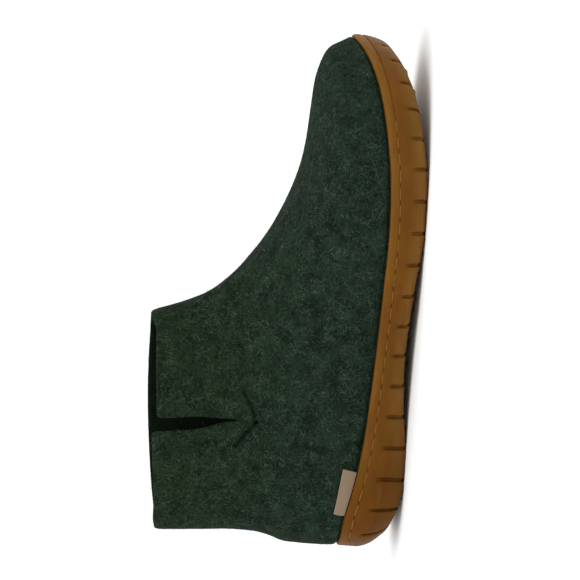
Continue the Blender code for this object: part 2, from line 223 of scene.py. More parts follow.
class FeltSettings(bpy.types.PropertyGroup):
    """Sizes and colours of the milled wool felt."""

    deep: colour_setting("Deep green", "Darkest wool in the melange", "#0f180e")
    green: colour_setting("Green", "Main wool in the melange", "#233528")
    olive: colour_setting("Olive green", "Yellower wool that shows more up the shaft", "#253522")
    pale: colour_setting("Pale fibre", "Grey-green fibres on the face", "#4b594e")
    black: colour_setting("Dark fibre", "Nearly black fibres on the face", "#070c08")
    hold: bpy.props.FloatProperty(
        name="Edge hold", description="How crisp the cut edges stay", subtype="FACTOR", default=0.12
    )
    lump: length_setting("Lump size", "Width of the soft unevenness of the milled sheet", 16.0)
    lump_height: length_setting("Lump height", "Height of the soft unevenness", 0.55)
    fibre_length: length_setting("Fibre length", "Mean length of the fibres that lie on the face", 2.1)
    fibre_width: length_setting("Fibre width", "Width of a strand, coarser than wool so it shows", 0.18)
    pale_count: count_setting("Pale fibres", "Number of pale fibres", 22000)
    dark_count: count_setting("Dark fibres", "Number of dark fibres", 10000)
    fuzz_count: count_setting("Fuzz hairs", "Number of raised hairs", 9000)
    fuzz_length: length_setting("Fuzz length", "Mean length of the hairs that stand off the face", 1.3)


class RubberSettings(bpy.types.PropertyGroup):
    """Sizes and colours of the moulded rubber sole."""

    rim: colour_setting("Rim", "Rubber at the rim", "#724a15")
    side: colour_setting("Side", "Rubber in the middle of the side", "#633d0c")
    # Painted light: this rubber near the ground is lighter than the side, standing in for fill light in the
    # shade by the floor
    foot: colour_setting("Foot", "Brightened rubber near the ground", "#735023")
    heel: colour_setting("Heel", "Warmer rubber round the heel", "#573102")
    russet: colour_setting("Russet", "Reddish streaks in the rubber", "#683710")
    olive: colour_setting("Olive", "Yellow streaks in the rubber", "#61440c")
    hold: bpy.props.FloatProperty(
        name="Edge hold", description="How crisp the sharp moulded edges stay", subtype="FACTOR", default=0.8
    )


class StitchSettings(bpy.types.PropertyGroup):
    """Sizes and colours of the sole stitching."""

    thread: colour_setting("Thread", "Waxed thread in the channel", "#8a6024")
    hole: colour_setting("Hole", "Shadowed rubber where the thread goes in", "#4c2c0c")
    pitch: length_setting("Pitch", "Length of a stitch from hole to hole", 9.4)
    seen: length_setting("Seen length", "Length of thread between two holes", 7.4)
    hole_length: length_setting("Hole length", "Length of the dimple between two stitches", 2.6)
    hole_height: length_setting("Hole height", "Height of the dimple between two stitches", 1.1)
    thick: length_setting("Thickness", "Thickness of the thread", 0.9)


class TrimSettings(bpy.types.PropertyGroup):
    """Sizes and colours of the insole and the label tab."""

    insole: colour_setting("Insole", "Felt of the insole", "#232f28")
    leather: colour_setting("Leather", "Face of the bare label tab", "#87745e")
    leather_edge: colour_setting("Leather edge", "Paler cut edge of the tab", "#b39e82")
    edge: length_setting("Edge round", "Width of the rounding of cut edges", 0.35)


class StageSettings(bpy.types.PropertyGroup):
    """Studio light, floor and camera."""

    floor: colour_setting("Floor", "Plain pale floor", "#fafbfa")
    sky: bpy.props.FloatProperty(name="Sky", description="Strength of the even white surround", default=1.06)
    top_power: bpy.props.FloatProperty(
        name="Top light", description="Power of the wide light over the boot", unit="POWER", default=30.0
    )
    lens: bpy.props.FloatProperty(
        name="Lens", description="Focal length on a 36 mm sensor", subtype="DISTANCE_CAMERA", default=110.1
    )


class BootSettings(bpy.types.PropertyGroup):
    """All the settings of the boot's looks."""

    felt: bpy.props.PointerProperty(type=FeltSettings)
    rubber: bpy.props.PointerProperty(type=RubberSettings)
    stitch: bpy.props.PointerProperty(type=StitchSettings)
    trim: bpy.props.PointerProperty(type=TrimSettings)
    stage: bpy.props.PointerProperty(type=StageSettings)


def smooth(column, station):
    """Read a column of the sole's table with a cubic that keeps level stretches level, without overshoot."""
    xs = [row.station for row in SOLE]
    ys = [getattr(row, column) for row in SOLE]
    if station <= xs[0]:
        return ys[0]
    if station >= xs[-1]:
        return ys[-1]
    slopes = [(ys[i + 1] - ys[i]) / (xs[i + 1] - xs[i]) for i in range(len(xs) - 1)]

    def tangent(i):
        if i == 0 or i == len(xs) - 1:
            return slopes[0] if i == 0 else slopes[-1]
        before, after = slopes[i - 1], slopes[i]
        return 0.0 if before * after <= 0.0 else 2.0 * before * after / (before + after)

    i = bisect_right(xs, station) - 1
    step = xs[i + 1] - xs[i]
    t = (station - xs[i]) / step
    start = (1.0 + 2.0 * t) * (1.0 - t) ** 2 * ys[i] + t * (1.0 - t) ** 2 * step * tangent(i)
    end = t * t * (3.0 - 2.0 * t) * ys[i + 1] + t * t * (t - 1.0) * step * tangent(i + 1)
    return start + end


def half_width(station):
    """Half the sole's width: the table, closed by a round heel and an elliptic toe."""
    cap = 1.0
    if station < HEEL_ROUND:
        cap = math.sqrt(max(0.0, 1.0 - ((HEEL_ROUND - station) / HEEL_ROUND) ** 2))
    if station > LENGTH - TOE_ROUND:
        cap = math.sqrt(max(0.0, 1.0 - ((station - LENGTH + TOE_ROUND) / TOE_ROUND) ** 2))
    return smooth("half_width", station) * cap


def column_at(column, stations, steps=400):
    """A column of the sole's table at many stations, read off a fine grid."""
    grid = np.linspace(0.0, LENGTH, steps)
    return np.interp(stations, grid, [smooth(column, s) for s in grid])


def channel_path(steps=900):
    """Points along the mouth of the stitch channel round the whole sole, in metres, as a closed loop."""
    loop = []
    for side in (OUTER, INNER):
        run = []
        for i in range(steps):
            station = 0.5 * LENGTH * (1.0 - math.cos(math.pi * (i + 0.5) / steps))
            across = smooth("centre", station) + side * half_width(station)
            height = smooth("rim", station) - CHANNEL_DROP
            run.append((station + HEEL_BACK, across + MIDDLE_LINE, height))
        loop += run if side == OUTER else run[::-1]
    return np.array(loop) * MM


def along_loop(loop, pitch, start=0.5):
    """Even places on a closed loop, short of the toe: each a point, the way along and the way out."""
    closed = np.vstack([loop, loop[:1]])
    arcs = np.concatenate([[0.0], np.cumsum(np.linalg.norm(np.diff(closed, axis=0), axis=1))])
    count = round(arcs[-1] / pitch)
    spots = (np.arange(count) + start) * arcs[-1] / count
    lead = 0.2 * pitch

    def read(arc):
        return np.array([np.interp(arc % arcs[-1], arcs, closed[:, axis]) for axis in range(3)])

    places = []
    for arc in spots:
        along = Vector(read(arc + lead) - read(arc - lead)).normalized()
        out = along.cross(Vector((0.0, 0.0, 1.0))).normalized()
        spot = Vector(read(arc))
        if spot.x < (STITCHES_END + HEEL_BACK) * MM:
            places.append((spot, along, out))
    return places


def activate(piece):
    bpy.ops.object.select_all(action="DESELECT")
    piece.select_set(True)
    bpy.context.view_layer.objects.active = piece


def copy_of_node(node, name):
    """A merged copy of a CAD node, with its triangles paired to quads."""
    piece = bpy.data.objects.new(name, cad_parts[node].data.copy())
    bpy.context.scene.collection.objects.link(piece)
    piece.data.name = name
    activate(piece)
    bpy.ops.object.mode_set(mode="EDIT")
    bpy.ops.mesh.select_all(action="SELECT")
    bpy.ops.mesh.remove_doubles(threshold=0.01 * MM)
    bpy.ops.mesh.tris_convert_to_quads()
    bpy.ops.object.mode_set(mode="OBJECT")
    return piece


def apply_modifier(piece, kind, **settings):
    activate(piece)
    made = piece.modifiers.new(kind.title(), kind)
    for key, value in settings.items():
        setattr(made, key, value)
    bpy.ops.object.modifier_apply(modifier=made.name)


def bevel_edges(piece, width):
    """Round the edges of a piece that turn sharply."""
    apply_modifier(
        piece,
        "BEVEL",
        width=width,
        segments=3,
        limit_method="ANGLE",
        angle_limit=math.radians(BEVELLED),
    )


def crease_sharp_edges(piece, hold):
    """Hold the edges that turn sharply, so that subdivision rounds them less."""
    activate(piece)
    bpy.ops.object.mode_set(mode="EDIT")
    bpy.ops.mesh.select_mode(type="EDGE")
    bpy.ops.mesh.select_all(action="DESELECT")
    bpy.ops.mesh.edges_select_sharp(sharpness=math.radians(SHARP))
    bpy.ops.transform.edge_crease(value=hold)
    bpy.ops.object.mode_set(mode="OBJECT")


def round_off(piece, top, reach, rounds=3, share=0.7):
    """Subdivide a piece so that its rounded surface stays near the solid's points below a height.

    Each round pushes a point of the cage out by a share of what it shrank, and never past the reach.
    """
    wanted = points_of(piece)
    kept = (wanted[:, 2] < top)[:, None]
    cage = wanted.copy()
    trial = piece.modifiers.new("Trial", "SUBSURF")
    trial.levels = 1
    trial.render_levels = 1
    for _ in range(rounds):
        bpy.context.view_layer.update()
        rounded = piece.evaluated_get(bpy.context.evaluated_depsgraph_get())
        reached = points_of(rounded)[:len(wanted)]
        push = cage - wanted + np.where(kept, share * (wanted - reached), 0.0)
        length = np.linalg.norm(push, axis=1)[:, None]
        cage = wanted + push * np.minimum(1.0, reach / np.maximum(length, reach))
        set_points(piece, cage)
    piece.modifiers.remove(trial)
    apply_modifier(piece, "SUBSURF", levels=2, render_levels=2)


def dress(piece, surface, node=None, degrees=40.0):
    """Give a finished piece its material and shading and tie it to the frame."""
    piece.data.materials.clear()
    piece.data.materials.append(surface)
    activate(piece)
    bpy.ops.object.shade_smooth_by_angle(angle=math.radians(degrees))
    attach(piece, "root")
    if node:
        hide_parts(node)
    return piece


def piece_from(name, points, faces):
    """A new object from lists of points and faces."""
    mesh = bpy.data.meshes.new(name)
    mesh.from_pydata(points, [], faces)
    piece = bpy.data.objects.new(name, mesh)
    bpy.context.scene.collection.objects.link(piece)
    return piece


def points_of(piece):
    flat = np.zeros(len(piece.data.vertices) * 3)
    piece.data.vertices.foreach_get("co", flat)
    return flat.reshape(-1, 3)


def normals_of(piece):
    flat = np.zeros(len(piece.data.vertices) * 3, np.float32)
    piece.data.vertex_normals.foreach_get("vector", flat)
    return flat.reshape(-1, 3).astype(float)


def set_points(piece, points):
    piece.data.vertices.foreach_set("co", points.ravel())
    piece.data.update()


def mark(piece, name, values):
    """Give each point of a piece a value that its material reads."""
    marks = piece.data.attributes.new(name, "FLOAT", "POINT")
    marks.data.foreach_set("value", values.astype(np.float32))


def new_material(name):
    made = bpy.data.materials.new(name)
    made.use_nodes = True
    tree = made.node_tree
    return made, tree, tree.nodes["Principled BSDF"]


def add_node(tree, kind, inputs=None, **settings):
    """Add a node, set its properties, and give each named input a value or a link."""
    made = tree.nodes.new(kind)
    for key, value in settings.items():
        setattr(made, key, value)
    for key, value in (inputs or {}).items():
        if isinstance(value, bpy.types.NodeSocket):
            tree.links.new(value, made.inputs[key])
        else:
            made.inputs[key].default_value = value
    return made


def per_metre(millimetres):
    """The texture scale whose features are about this many millimetres wide."""
    return 1.0 / (millimetres * MM)


def felt_material(name, deep, green, olive, pale, black):
    """Milled wool felt: matted fibres of several greens make a soft melange, dull with a faint bloom, with
    painted shade darkening its inside and its crease troughs.
    """
    made, tree, shader = new_material(name)
    place = add_node(tree, "ShaderNodeTexCoord").outputs["Object"]
    swirl = add_node(tree, "ShaderNodeTexNoise", {"Vector": place, "Scale": per_metre(5.0), "Detail": 1.0})
    centred = add_node(
        tree, "ShaderNodeVectorMath", {0: swirl.outputs["Color"], 1: (0.5, 0.5, 0.5)}, operation="SUBTRACT"
    )
    bent = add_node(
        tree,
        "ShaderNodeVectorMath",
        {0: centred.outputs["Vector"], 1: (7.0 * MM,) * 3, 2: place},
        operation="MULTIPLY_ADD",
    ).outputs["Vector"]
    patches = add_node(
        tree,
        "ShaderNodeTexNoise",
        {"Vector": place, "Scale": per_metre(8.0), "Detail": 6.0, "Roughness": 0.66},
    )
    patch_share = add_node(
        tree, "ShaderNodeMapRange", {"Value": patches.outputs["Fac"], "From Min": 0.30, "From Max": 0.70}
    )
    height = add_node(tree, "ShaderNodeSeparateXYZ", {"Vector": place}).outputs["Z"]
    shaft_share = add_node(
        tree,
        "ShaderNodeMapRange",
        {"Value": height, "From Min": 60.0 * MM, "From Max": 125.0 * MM},
        interpolation_type="SMOOTHSTEP",
    )
    dyed = add_node(
        tree,
        "ShaderNodeMix",
        {"Factor": shaft_share.outputs["Result"], "A": (*green, 1.0), "B": (*olive, 1.0)},
        data_type="RGBA",
    )
    ground = add_node(
        tree,
        "ShaderNodeMix",
        {"Factor": patch_share.outputs["Result"], "A": (*deep, 1.0), "B": dyed.outputs["Result"]},
        data_type="RGBA",
    )
    strands = add_node(
        tree,
        "ShaderNodeTexNoise",
        {"Vector": bent, "Scale": per_metre(2.6), "Detail": 0.0, "Offset": 1.0, "Gain": 1.0},
        noise_type="RIDGED_MULTIFRACTAL",
    )
    thin = add_node(
        tree, "ShaderNodeMapRange", {"Value": strands.outputs["Fac"], "From Min": 0.72, "From Max": 1.0}
    )
    gaps = add_node(tree, "ShaderNodeTexNoise", {"Vector": place, "Scale": per_metre(3.4), "Detail": 2.0})
    broken = add_node(
        tree, "ShaderNodeMapRange", {"Value": gaps.outputs["Fac"], "From Min": 0.48, "From Max": 0.64}
    )
    strand_share = add_node(
        tree,
        "ShaderNodeMath",
        {0: thin.outputs["Result"], 1: broken.outputs["Result"]},
        operation="MULTIPLY",
    )
    soft_share = add_node(
        tree, "ShaderNodeMath", {0: strand_share.outputs[0], 1: 0.34}, operation="MULTIPLY"
    )
    melange = add_node(
        tree,
        "ShaderNodeMix",
        {"Factor": soft_share.outputs[0], "A": ground.outputs["Result"], "B": (*pale, 1.0)},
        data_type="RGBA",
    )
    pits = add_node(tree, "ShaderNodeTexNoise", {"Vector": bent, "Scale": per_metre(1.2), "Detail": 2.0})
    pit_share = add_node(
        tree,
        "ShaderNodeMapRange",
        {"Value": pits.outputs["Fac"], "From Min": 0.56, "From Max": 0.72, "To Max": 0.75},
    )
    coloured = add_node(
        tree,
        "ShaderNodeMix",
        {"Factor": pit_share.outputs["Result"], "A": melange.outputs["Result"], "B": (*black, 1.0)},
        data_type="RGBA",
    )
    # Painted shade: the inward faces and the crease troughs are mixed towards the dark fibre colour,
    # standing in for the shade that falls there
    inside = add_node(tree, "ShaderNodeAttribute", attribute_name="inside").outputs["Fac"]
    crease_shade = add_node(tree, "ShaderNodeAttribute", attribute_name="crease_shade").outputs["Fac"]
    soft_crease_shade = add_node(tree, "ShaderNodeMath", {0: crease_shade, 1: 0.6}, operation="MULTIPLY")
    shaded = add_node(tree, "ShaderNodeMath", {0: inside, 1: soft_crease_shade.outputs[0]}, operation="MAXIMUM")
    painted_shade = add_node(tree, "ShaderNodeMath", {0: shaded.outputs[0], 1: 0.8}, operation="MULTIPLY")
    with_painted_shade = add_node(
        tree,
        "ShaderNodeMix",
        {"Factor": painted_shade.outputs[0], "A": coloured.outputs["Result"], "B": (*black, 1.0)},
        data_type="RGBA",
    )
    relief = add_node(
        tree,
        "ShaderNodeMath",
        {0: strand_share.outputs[0], 1: pit_share.outputs["Result"]},
        operation="SUBTRACT",
    )
    bump = add_node(
        tree,
        "ShaderNodeBump",
        {"Height": relief.outputs[0], "Strength": 0.8, "Distance": 0.5 * MM},
    )
    tree.links.new(with_painted_shade.outputs["Result"], shader.inputs["Base Color"])
    tree.links.new(bump.outputs["Normal"], shader.inputs["Normal"])
    shader.inputs["Roughness"].default_value = 0.95
    shader.inputs["Specular IOR Level"].default_value = 0.04
    shader.inputs["Sheen Weight"].default_value = 0.02
    shader.inputs["Sheen Roughness"].default_value = 0.55
    shader.inputs["Sheen Tint"].default_value = (*pale, 1.0)
    return made


def fibre_material(name, colour):
    """A loose wool fibre: one dyed colour, brighter in clumps and nearly lost between them, dull."""
    made, tree, shader = new_material(name)
    place = add_node(tree, "ShaderNodeTexCoord").outputs["Object"]
    drift = add_node(tree, "ShaderNodeTexNoise", {"Vector": place, "Scale": per_metre(7.0), "Detail": 3.0})
    clumped = add_node(
        tree, "ShaderNodeMapRange", {"Value": drift.outputs["Fac"], "From Min": 0.30, "From Max": 0.72}
    )
    darker = tuple(0.2 * c for c in colour)
    mixed = add_node(
        tree,
        "ShaderNodeMix",
        {"Factor": clumped.outputs["Result"], "A": (*darker, 1.0), "B": (*colour, 1.0)},
        data_type="RGBA",
    )
    tree.links.new(mixed.outputs["Result"], shader.inputs["Base Color"])
    shader.inputs["Roughness"].default_value = 0.8
    shader.inputs["Specular IOR Level"].default_value = 0.06
    return made


def rubber_material(name, rubber):
    """Moulded natural rubber: satin, faintly streaked, paler at the rim, and lighter near the ground as
    painted light against the shade by the floor.
    """
    made, tree, shader = new_material(name)
    place = add_node(tree, "ShaderNodeTexCoord").outputs["Object"]
    height = add_node(tree, "ShaderNodeAttribute", attribute_name="side_height").outputs["Fac"]
    stretched = add_node(tree, "ShaderNodeMapping", {"Vector": place, "Scale": (0.12, 0.5, 1.0)})
    streaks = add_node(
        tree,
        "ShaderNodeTexNoise",
        {"Vector": stretched.outputs["Vector"], "Scale": per_metre(2.2), "Detail": 3.0},
    )
    wobble = add_node(
        tree,
        "ShaderNodeMath",
        {0: streaks.outputs["Fac"], 1: 0.30, 2: height},
        operation="MULTIPLY_ADD",
    )
    low = add_node(
        tree, "ShaderNodeMapRange", {"Value": wobble.outputs[0], "From Min": 0.22, "From Max": 0.62}
    )
    high = add_node(
        tree, "ShaderNodeMapRange", {"Value": wobble.outputs[0], "From Min": 0.82, "From Max": 1.12}
    )
    # Painted light: towards the ground the side colour gives way to the lighter foot colour, brightening the
    # shade by the floor
    lower = add_node(
        tree,
        "ShaderNodeMix",
        {"Factor": low.outputs["Result"], "A": (*rubber.foot, 1.0), "B": (*rubber.side, 1.0)},
        data_type="RGBA",
    )
    banded = add_node(
        tree,
        "ShaderNodeMix",
        {"Factor": high.outputs["Result"], "A": lower.outputs["Result"], "B": (*rubber.rim, 1.0)},
        data_type="RGBA",
    )
    station = add_node(tree, "ShaderNodeSeparateXYZ", {"Vector": place}).outputs["X"]
    heel_share = add_node(
        tree,
        "ShaderNodeMapRange",
        {"Value": station, "From Min": HEEL_WARM[0], "From Max": HEEL_WARM[1], "To Max": 0.65},
        interpolation_type="SMOOTHSTEP",
    )
    warm = add_node(
        tree,
        "ShaderNodeMix",
        {"Factor": heel_share.outputs["Result"], "A": banded.outputs["Result"], "B": (*rubber.heel, 1.0)},
        data_type="RGBA",
    )
    smeared = add_node(
        tree, "ShaderNodeMapping", {"Vector": place, "Location": (0.3, 0.1, 0.2), "Scale": (0.07, 0.3, 0.9)}
    )
    smears = add_node(
        tree,
        "ShaderNodeTexNoise",
        {"Vector": smeared.outputs["Vector"], "Scale": per_metre(3.0), "Detail": 3.0},
    )
    red_share = add_node(
        tree,
        "ShaderNodeMapRange",
        {"Value": smears.outputs["Fac"], "From Min": 0.52, "From Max": 0.70, "To Max": 0.5},
    )
    reddened = add_node(
        tree,
        "ShaderNodeMix",
        {"Factor": red_share.outputs["Result"], "A": warm.outputs["Result"], "B": (*rubber.russet, 1.0)},
        data_type="RGBA",
    )
    yellow_share = add_node(
        tree,
        "ShaderNodeMapRange",
        {"Value": smears.outputs["Fac"], "From Min": 0.46, "From Max": 0.30, "To Max": 0.5},
    )
    smeary = add_node(
        tree,
        "ShaderNodeMix",
        {
            "Factor": yellow_share.outputs["Result"],
            "A": reddened.outputs["Result"],
            "B": (*rubber.olive, 1.0),
        },
        data_type="RGBA",
    )
    clouds = add_node(tree, "ShaderNodeTexNoise", {"Vector": place, "Scale": per_metre(14.0), "Detail": 3.0})
    cloudy = add_node(
        tree,
        "ShaderNodeMapRange",
        {"Value": clouds.outputs["Fac"], "From Min": 0.3, "From Max": 0.7, "To Min": 0.9, "To Max": 1.1},
    )
    over_lugs = add_node(tree, "ShaderNodeAttribute", attribute_name="over_lugs").outputs["Fac"]
    heel_lugs = add_node(
        tree,
        "ShaderNodeMapRange",
        {
            "Value": station,
            "From Min": HEEL_DARK[0],
            "From Max": HEEL_DARK[1],
            "To Min": 1.0,
            "To Max": 0.86,
        },
    )
    lug_tone = add_node(
        tree,
        "ShaderNodeMapRange",
        {
            "Value": over_lugs,
            "From Min": -0.04,
            "From Max": 0.04,
            "To Min": heel_lugs.outputs["Result"],
            "To Max": 1.0,
        },
    )
    shade = add_node(
        tree,
        "ShaderNodeMath",
        {0: cloudy.outputs["Result"], 1: lug_tone.outputs["Result"]},
        operation="MULTIPLY",
    )
    coloured = add_node(
        tree,
        "ShaderNodeVectorMath",
        {0: smeary.outputs["Result"], "Scale": shade.outputs[0]},
        operation="SCALE",
    )
    grain = add_node(tree, "ShaderNodeTexNoise", {"Vector": place, "Scale": per_metre(0.8), "Detail": 3.0})
    matt = add_node(
        tree,
        "ShaderNodeMapRange",
        {"Value": grain.outputs["Fac"], "From Min": 0.3, "From Max": 0.7, "To Min": 0.42, "To Max": 0.6},
    )
    bump = add_node(
        tree, "ShaderNodeBump", {"Height": grain.outputs["Fac"], "Strength": 0.25, "Distance": 0.12 * MM}
    )
    tree.links.new(coloured.outputs["Vector"], shader.inputs["Base Color"])
    tree.links.new(matt.outputs["Result"], shader.inputs["Roughness"])
    tree.links.new(bump.outputs["Normal"], shader.inputs["Normal"])
    shader.inputs["IOR"].default_value = 1.52
    shader.inputs["Specular IOR Level"].default_value = 0.07
    return made


def thread_material(name, colour):
    """Waxed linen thread, or the rubber shadowed beside it: a fine broken grain with little shine."""
    made, tree, shader = new_material(name)
    place = add_node(tree, "ShaderNodeTexCoord").outputs["Object"]
    plies = add_node(tree, "ShaderNodeTexNoise", {"Vector": place, "Scale": per_metre(0.9), "Detail": 2.0})
    darker = tuple(0.5 * c for c in colour)
    mixed = add_node(
        tree,
        "ShaderNodeMix",
        {"Factor": plies.outputs["Fac"], "A": (*darker, 1.0), "B": (*colour, 1.0)},
        data_type="RGBA",
    )
    bump = add_node(
        tree, "ShaderNodeBump", {"Height": plies.outputs["Fac"], "Strength": 0.5, "Distance": 0.15 * MM}
    )
    tree.links.new(mixed.outputs["Result"], shader.inputs["Base Color"])
    tree.links.new(bump.outputs["Normal"], shader.inputs["Normal"])
    shader.inputs["Roughness"].default_value = 0.65
    shader.inputs["Specular IOR Level"].default_value = 0.1
    return made


def leather_material(name, face, edge):
    """Undyed leather strip: matt, with fine pores, soft clouds of colour and paler cut edges."""
    made, tree, shader = new_material(name)
    place = add_node(tree, "ShaderNodeTexCoord").outputs["Object"]
    clouds = add_node(tree, "ShaderNodeTexNoise", {"Vector": place, "Scale": per_metre(3.5), "Detail": 4.0})
    rim = add_node(tree, "ShaderNodeAttribute", attribute_name="cut_edge").outputs["Fac"]
    darker = tuple(0.8 * c for c in face)
    cloudy = add_node(
        tree,
        "ShaderNodeMix",
        {"Factor": clouds.outputs["Fac"], "A": (*darker, 1.0), "B": (*face, 1.0)},
        data_type="RGBA",
    )
    edged = add_node(
        tree,
        "ShaderNodeMix",
        {"Factor": rim, "A": cloudy.outputs["Result"], "B": (*edge, 1.0)},
        data_type="RGBA",
    )
    pores = add_node(tree, "ShaderNodeTexVoronoi", {"Vector": place, "Scale": per_metre(0.7)})
    bump = add_node(
        tree,
        "ShaderNodeBump",
        {"Height": pores.outputs["Distance"], "Strength": 0.35, "Distance": 0.12 * MM},
    )
    tree.links.new(edged.outputs["Result"], shader.inputs["Base Color"])
    tree.links.new(bump.outputs["Normal"], shader.inputs["Normal"])
    shader.inputs["Roughness"].default_value = 0.75
    shader.inputs["Specular IOR Level"].default_value = 0.3
    return made


def turned_inwards(points, normals):
    """Whether each normal turns towards the boot's hollow."""
    steps = np.linspace(0.0, 1.0, 6)[:, None]
    core = np.concatenate([a + steps * (b - a) for a, b in zip(HOLLOW, HOLLOW[1:])])
    nearest = core[np.argmin(((points[:, None, :] - core[None]) ** 2).sum(2), axis=1)]
    return ((points - nearest) * normals).sum(1) < 0.0


def line_distance(points, line):
    """The distance of flat points to a line of flat points."""
    best = np.full(len(points), np.inf)
    for a, b in zip(line, line[1:]):
        along = b - a
        t = np.clip((points - a) @ along / (along @ along), 0.0, 1.0)
        best = np.minimum(best, np.linalg.norm(points - a - t[:, None] * along, axis=1))
    return best


def crease_line(crease):
    """A crease's points as flat points of the frame, in metres."""
    line = np.array(crease.points)
    line[:, 0] += HEEL_BACK
    return line * MM


def on_outer_side(points, normals):
    """Whether each point lies on the outer side and faces out of it."""
    return (points[:, 1] < OUTER_FROM * MM) & (normals[:, 1] < OUTER_TURN)


def press_creases(piece):
    """Press the creases of the outer side into the felt as soft troughs with low ridges beside them, and
    mark the troughs for painted shade.
    """
    points = points_of(piece)
    normals = normals_of(piece)
    faces_out = on_outer_side(points, normals)
    flat = points[:, (0, 2)]
    depth = np.zeros(len(points))
    for crease in CREASES:
        away = line_distance(flat, crease_line(crease)) / (crease.half_width * MM)
        shift = -crease.depth * np.exp(-away ** 2) + crease.ridge * np.exp(-(away - RIDGE_AWAY) ** 2)
        points += np.where(faces_out, shift * MM, 0.0)[:, None] * normals
        # This depth mark carries painted shade: the felt material darkens the troughs by it
        depth = np.maximum(depth, np.where(faces_out, min(1.0, crease.depth) * np.exp(-away ** 2), 0.0))
    set_points(piece, points)
    mark(piece, "crease_shade", depth)


def refine_near_creases(piece):
    """Split the faces of the outer side near the creases, so that the troughs come out round."""
    activate(piece)
    bpy.ops.object.mode_set(mode="EDIT")
    bpy.ops.mesh.select_mode(type="FACE")
    bpy.ops.mesh.select_all(action="DESELECT")
    bpy.ops.object.mode_set(mode="OBJECT")
    count = len(piece.data.polygons)
    middles = np.zeros(count * 3)
    piece.data.polygons.foreach_get("center", middles)
    middles = middles.reshape(-1, 3)
    turned = np.zeros(count * 3)
    piece.data.polygons.foreach_get("normal", turned)
    turned = turned.reshape(-1, 3)
    away = np.min([line_distance(middles[:, (0, 2)], crease_line(crease)) for crease in CREASES], axis=0)
    chosen = (away < CREASE_REACH * MM) & on_outer_side(middles, turned)
    piece.data.polygons.foreach_set("select", chosen)
    bpy.ops.object.mode_set(mode="EDIT")
    bpy.ops.mesh.subdivide(number_cuts=4, smoothness=0.0)
    bpy.ops.object.mode_set(mode="OBJECT")


class FELTBOOT_OT_upper(bpy.types.Operator):
    """Model the felt upper from its solid: a soft milled shell with creases under the slit"""

    bl_idname = "felt_boot.upper"
    bl_label = "Felt upper"

    def execute(self, context):
        felt = context.scene.felt_boot.felt
        piece = copy_of_node("upper", "felt_upper")
        crease_sharp_edges(piece, felt.hold)
        round_off(piece, FELT_HELD_TO * MM, FELT_REACH * MM)
        refine_near_creases(piece)
        lumps = bpy.data.textures.new("felt lumps", "CLOUDS")
        lumps.noise_scale = felt.lump
        lumps.noise_depth = 2
        apply_modifier(
            piece,
            "DISPLACE",
            texture=lumps,
            texture_coords="LOCAL",
            strength=felt.lump_height,
            mid_level=0.55,
        )
        press_creases(piece)
        # Marks the inward faces, which the felt material darkens as painted shade
        shaded = turned_inwards(points_of(piece), normals_of(piece))
        mark(piece, "inside", shaded)
        surface = felt_material("milled wool felt", felt.deep, felt.green, felt.olive, felt.pale, felt.black)
        dress(piece, surface, "upper", degrees=60.0)
        return {"FINISHED"}


def felt_samples(piece, count, draw):
    """Random points on the felt that shows, with normals: the outside, and the inside near the collar."""
    mesh = piece.data
    mesh.calc_loop_triangles()
    corners = np.zeros(len(mesh.loop_triangles) * 3, np.int32)
    mesh.loop_triangles.foreach_get("vertices", corners)
    corners = corners.reshape(-1, 3)
    points = points_of(piece)
    a, b, c = (points[corners[:, k]] for k in range(3))
    cross = np.cross(b - a, c - a)
    area = 0.5 * np.linalg.norm(cross, axis=1)
    normal = cross / np.maximum(2.0 * area, 1e-12)[:, None]
    middle = (a + b + c) / 3.0
    inwards = turned_inwards(middle, normal)
    rim = column_at("rim", middle[:, 0] / MM - HEEL_BACK)
    weight = np.where(inwards, np.where(middle[:, 2] > COLLAR_INSIDE * MM, INSIDE_SHARE, 0.0), 1.0)
    weight = np.where(middle[:, 2] / MM > rim + FIBRES_OVER_RIM, weight * area, 0.0)
    picks = draw.choice(len(corners), size=count, p=weight / weight.sum())
    u, v = draw.random(count), draw.random(count)
    over = u + v > 1.0
    u, v = np.where(over, 1.0 - u, u), np.where(over, 1.0 - v, v)
    spots = a[picks] + u[:, None] * (b - a)[picks] + v[:, None] * (c - a)[picks]
    return spots, normal[picks]


def lying_fibres(piece, name, count, mean_length, width, draw, segments=4):
    """Thin curling ribbons that lie on the felt, joined in one mesh."""
    tree = BVHTree.FromObject(piece, bpy.context.evaluated_depsgraph_get())
    spots, normals = felt_samples(piece, count, draw)
    points = np.zeros((count, segments + 1, 2, 3))
    for i in range(count):
        spot = Vector(spots[i])
        normal = Vector(normals[i])
        heading = Vector(draw.normal(size=3))
        heading = (heading - heading.dot(normal) * normal).normalized()
        curl = draw.normal(0.0, FIBRE_CURL)
        length = mean_length * draw.uniform(*FIBRE_LENGTHS)
        half = 0.5 * width * draw.uniform(*FIBRE_WIDTHS)
        lift = draw.uniform(*FIBRE_LIFTS) * MM
        for k in range(segments + 1):
            across = normal.cross(heading).normalized()
            taper = FIBRE_TIP if k in (0, segments) else 1.0
            raised = spot + normal * lift
            points[i, k, 0] = raised - across * half * taper
            points[i, k, 1] = raised + across * half * taper
            heading = Matrix.Rotation(curl + draw.normal(0.0, FIBRE_WANDER), 3, normal) @ heading
            found, turned, _, _ = tree.find_nearest(spot + heading * (length / segments))
            step = found - spot
            spot = found
            normal = turned if turned.dot(normal) > 0.0 else normal
            if step.length > 1e-7:
                heading = (step - step.dot(normal) * normal).normalized()
    flat = points.reshape(-1, 3)
    start = np.arange(count)[:, None] * (segments + 1) * 2 + np.arange(segments)[None] * 2
    faces = np.stack([start, start + 1, start + 3, start + 2], axis=2).reshape(-1, 4)
    return piece_from(name, flat.tolist(), faces.tolist())


